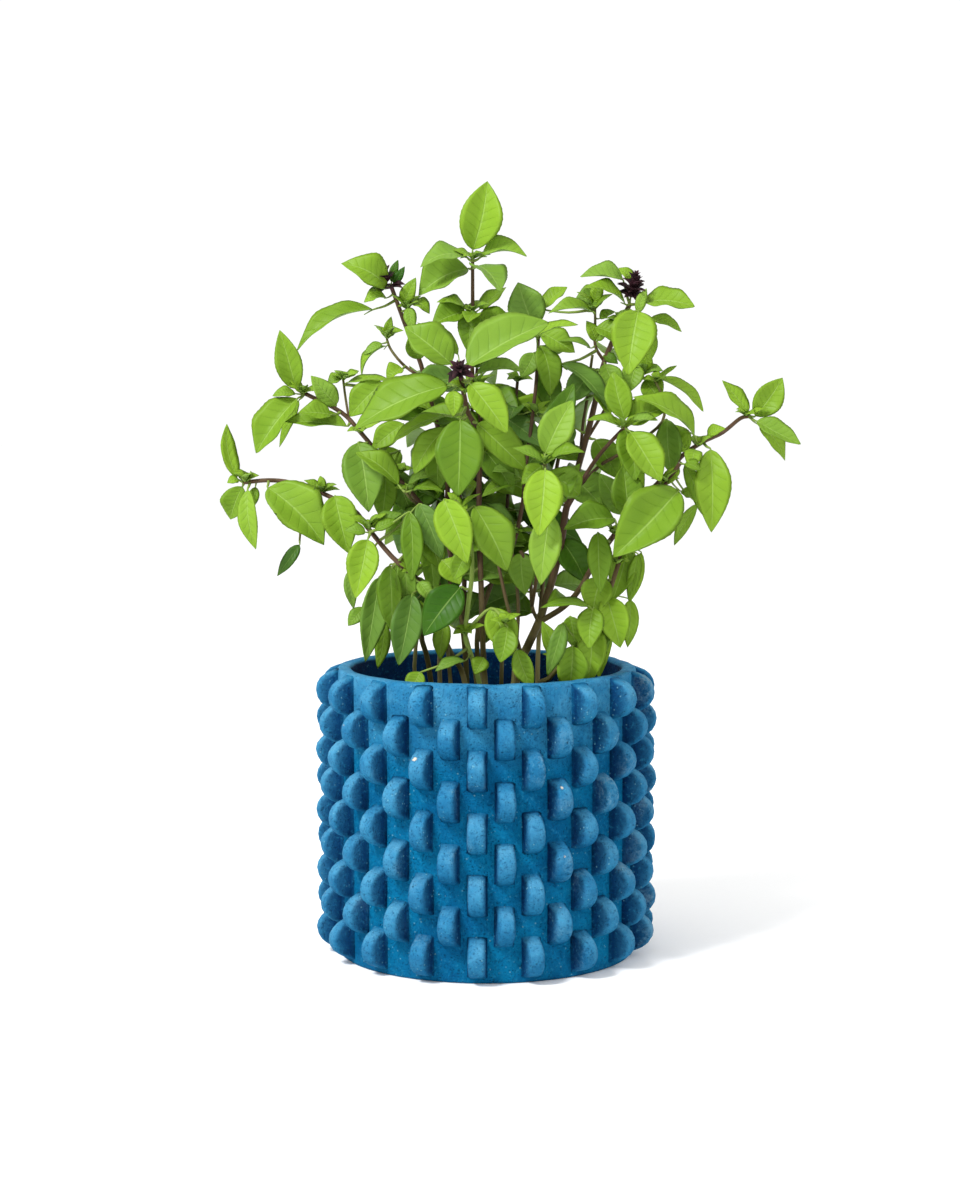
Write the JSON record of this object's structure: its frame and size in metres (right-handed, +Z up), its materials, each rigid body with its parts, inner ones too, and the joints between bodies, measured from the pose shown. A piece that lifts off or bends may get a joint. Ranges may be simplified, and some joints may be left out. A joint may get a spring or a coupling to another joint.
{
  "type": "potted basil plant",
  "caption": "Bushy Thai basil with purple stems and flower heads in a matte blue round pot covered with staggered upright half-disc nubs.",
  "frame": {"origin": "centre of the flat underside of the pot", "axes": "+Z up through the pot and the plant; -Y is the front; the origin is on the surface that the pot stands on"},
  "size_m": [0.2553, 0.1522, 0.342],
  "materials": {
    "pot_blue": "matte",
    "potting_soil": "matte",
    "stem_purple": "satin",
    "leaf_green": "satin",
    "flower_purple": "matte"
  },
  "bodies": {
    "root": {"flower_centre": "flower_purple", "flower_left": "flower_purple", "flower_right": "flower_purple", "leaf_back_1": "leaf_green", "leaf_centre_1": "leaf_green", "leaf_centre_2": "leaf_green", "leaf_centre_3": "leaf_green", "leaf_centre_4": "leaf_green", "leaf_centre_5": "leaf_green", "leaf_centre_6": "leaf_green", "leaf_far_left_1": "leaf_green", "leaf_far_left_2": "leaf_green", "leaf_far_left_3": "leaf_green", "leaf_far_left_4": "leaf_green", "leaf_far_left_5": "leaf_green", "leaf_far_left_6": "leaf_green", "leaf_far_left_7": "leaf_green", "leaf_far_left_8": "leaf_green", "leaf_front_1": "leaf_green", "leaf_front_2": "leaf_green", "leaf_front_3": "leaf_green", "leaf_left_1": "leaf_green", "leaf_left_2": "leaf_green", "leaf_left_3": "leaf_green", "leaf_left_4": "leaf_green", "leaf_left_5": "leaf_green", "leaf_low_right_1": "leaf_green", "leaf_right_1": "leaf_green", "leaf_right_10": "leaf_green", "leaf_right_11": "leaf_green", "leaf_right_12": "leaf_green", "leaf_right_13": "leaf_green", "leaf_right_14": "leaf_green", "leaf_right_2": "leaf_green", "leaf_right_3": "leaf_green", "leaf_right_4": "leaf_green", "leaf_right_5": "leaf_green", "leaf_right_6": "leaf_green", "leaf_right_7": "leaf_green", "leaf_right_8": "leaf_green", "leaf_right_9": "leaf_green", "leaf_top_1": "leaf_green", "leaf_top_2": "leaf_green", "leaf_top_3": "leaf_green", "leaf_top_4": "leaf_green", "leaf_top_5": "leaf_green", "leaf_upper_left_1": "leaf_green", "leaf_upper_left_2": "leaf_green", "pot": "pot_blue", "pot_nubs": "pot_blue", "shoot_back": "stem_purple", "shoot_centre": "stem_purple", "shoot_far_left": "stem_purple", "shoot_front": "stem_purple", "shoot_left": "stem_purple", "shoot_low_right": "stem_purple", "shoot_right": "stem_purple", "shoot_top": "stem_purple", "shoot_upper_left": "stem_purple", "soil": "potting_soil"}
  },
  "joints": []
}
